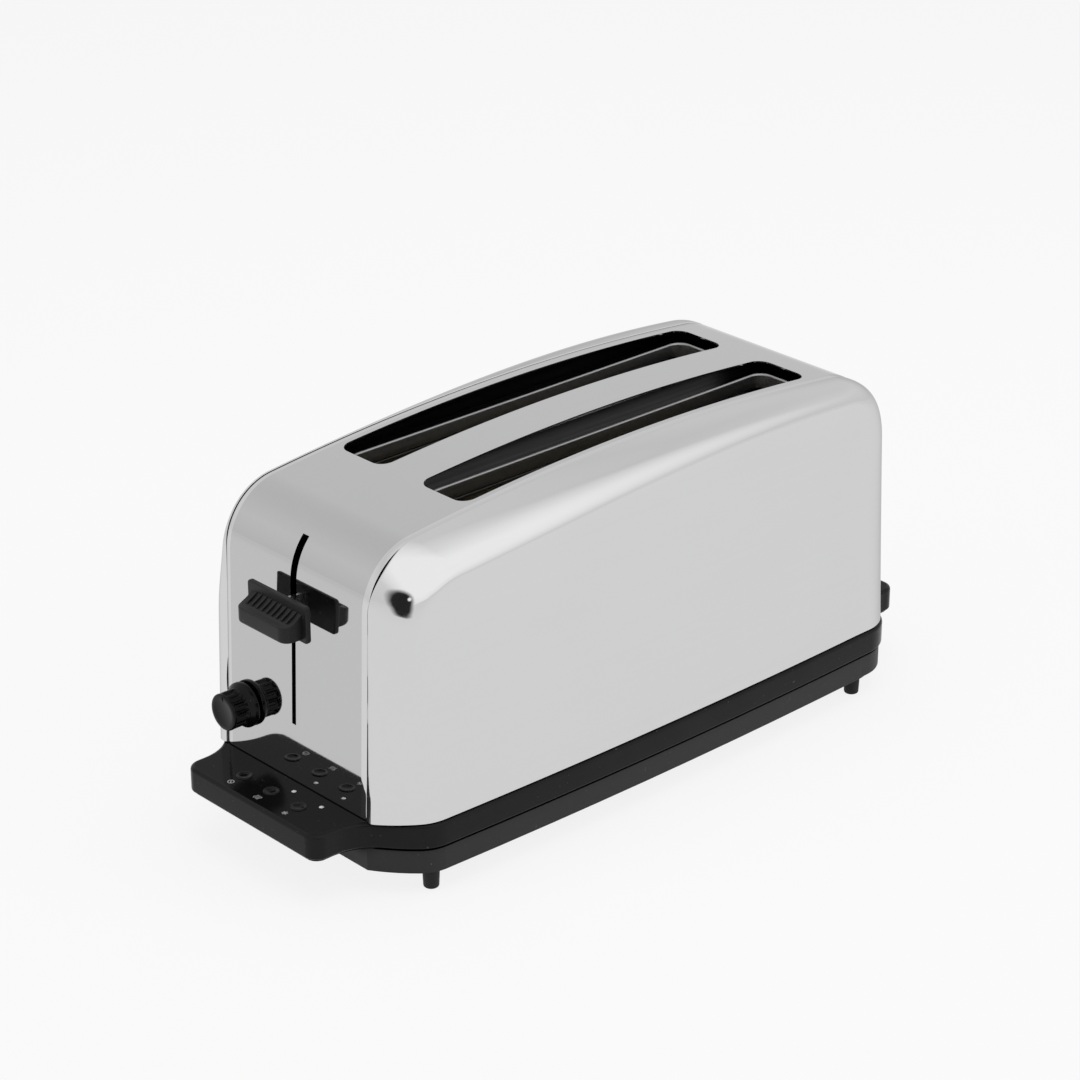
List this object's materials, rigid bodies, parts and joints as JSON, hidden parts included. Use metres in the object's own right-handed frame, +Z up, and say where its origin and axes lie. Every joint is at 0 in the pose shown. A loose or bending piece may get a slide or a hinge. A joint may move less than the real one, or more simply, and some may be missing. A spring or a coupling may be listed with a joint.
{
  "type": "long slot toaster",
  "caption": "Long-slot toaster: arched polished steel casing over a black base with end shelves, bread lever, browning knob, push buttons and a sliding crumb tray.",
  "frame": {"origin": "centre of the footprint on the table, at the foot tips", "axes": "+X toward the rear end, away from the lever; +Y toward the side with the knob; +Z up"},
  "size_m": [0.45, 0.1808, 0.204],
  "materials": {
    "polished_steel": "mirror polished stainless sheet",
    "inner_steel": "plain rolled steel, dulled by heat",
    "black_plastic": "moulded black, semi gloss",
    "knob_plastic": "moulded black, semi gloss",
    "rubber": "matte black",
    "zinc_screw": "dark zinc",
    "mica": "pressed mica board",
    "heater_ribbon": "oxidised resistance ribbon",
    "circuit_board": "green solder mask",
    "copper_coil": "enamelled copper wire",
    "switch_plastic": "pale moulded plastic",
    "lamp_lens": "milky lens"
  },
  "bodies": {
    "housing": {"wrap_panel": "polished_steel", "side_shell_near": "polished_steel", "side_shell_far": "polished_steel", "base_moulding": "black_plastic", "shelf_cover_front": "black_plastic", "shelf_cover_rear": "black_plastic", "base_pan": "black_plastic", "foot_front_near": "rubber", "foot_front_far": "rubber", "foot_rear_near": "rubber", "foot_rear_far": "rubber", "pan_screws": "zinc_screw", "cover_screws": "zinc_screw", "top_frame": "inner_steel", "front_bulkhead": "inner_steel", "rear_bulkhead": "inner_steel", "reflector_near": "inner_steel", "reflector_far": "inner_steel", "heater_card_near": "mica", "heater_card_middle": "mica", "heater_card_far": "mica", "heater_ribbon_near": "heater_ribbon", "heater_ribbon_middle": "heater_ribbon", "heater_ribbon_far": "heater_ribbon", "guard_near_outer": "inner_steel", "guard_near_inner": "inner_steel", "guard_far_inner": "inner_steel", "guard_far_outer": "inner_steel", "guide_rods": "inner_steel", "rod_bridge": "inner_steel", "return_spring": "inner_steel", "latch_magnet": "copper_coil", "mains_switch": "switch_plastic", "power_board": "circuit_board", "timer_pot": "switch_plastic", "control_board": "circuit_board", "lamp_lenses": "lamp_lens", "cord_gland": "rubber"},
    "carriage": {"carriage_bracket": "inner_steel", "lever_paddle": "black_plastic", "bread_rack_near": "inner_steel", "bread_rack_far": "inner_steel", "keeper_plate": "inner_steel"},
    "knob": {"browning_knob": "knob_plastic", "knob_shaft": "inner_steel"},
    "stop_key": {"stop_button": "knob_plastic"},
    "reheat_key": {"reheat_button": "knob_plastic"},
    "defrost_key": {"defrost_button": "knob_plastic"},
    "tray": {"crumb_tray": "inner_steel", "tray_handle": "black_plastic"}
  },
  "joints": [
    {"name": "carriage_slide", "type": "slide", "parent": "housing", "child": "carriage", "axis": [0, 0, 1], "range_m": [-0.06, 0.025], "stiffness_N_per_m": 180, "springref_m": 0.0077, "deforming": ["return_spring"]},
    {"name": "knob_turn", "type": "hinge", "parent": "housing", "child": "knob", "pos_m": [-0.2, 0.0415, 0.073], "axis": [-1, 0, 0], "range_deg": [-135, 135]},
    {"name": "stop_press", "type": "slide", "parent": "housing", "child": "stop_key", "axis": [0, 0, -1], "range_m": [0, 0.0015], "stiffness_N_per_m": 300},
    {"name": "reheat_press", "type": "slide", "parent": "housing", "child": "reheat_key", "axis": [0, 0, -1], "range_m": [0, 0.0015], "stiffness_N_per_m": 300},
    {"name": "defrost_press", "type": "slide", "parent": "housing", "child": "defrost_key", "axis": [0, 0, -1], "range_m": [0, 0.0015], "stiffness_N_per_m": 300},
    {"name": "tray_slide", "type": "slide", "parent": "housing", "child": "tray", "axis": [1, 0, 0], "range_m": [0, 0.29]}
  ]
}
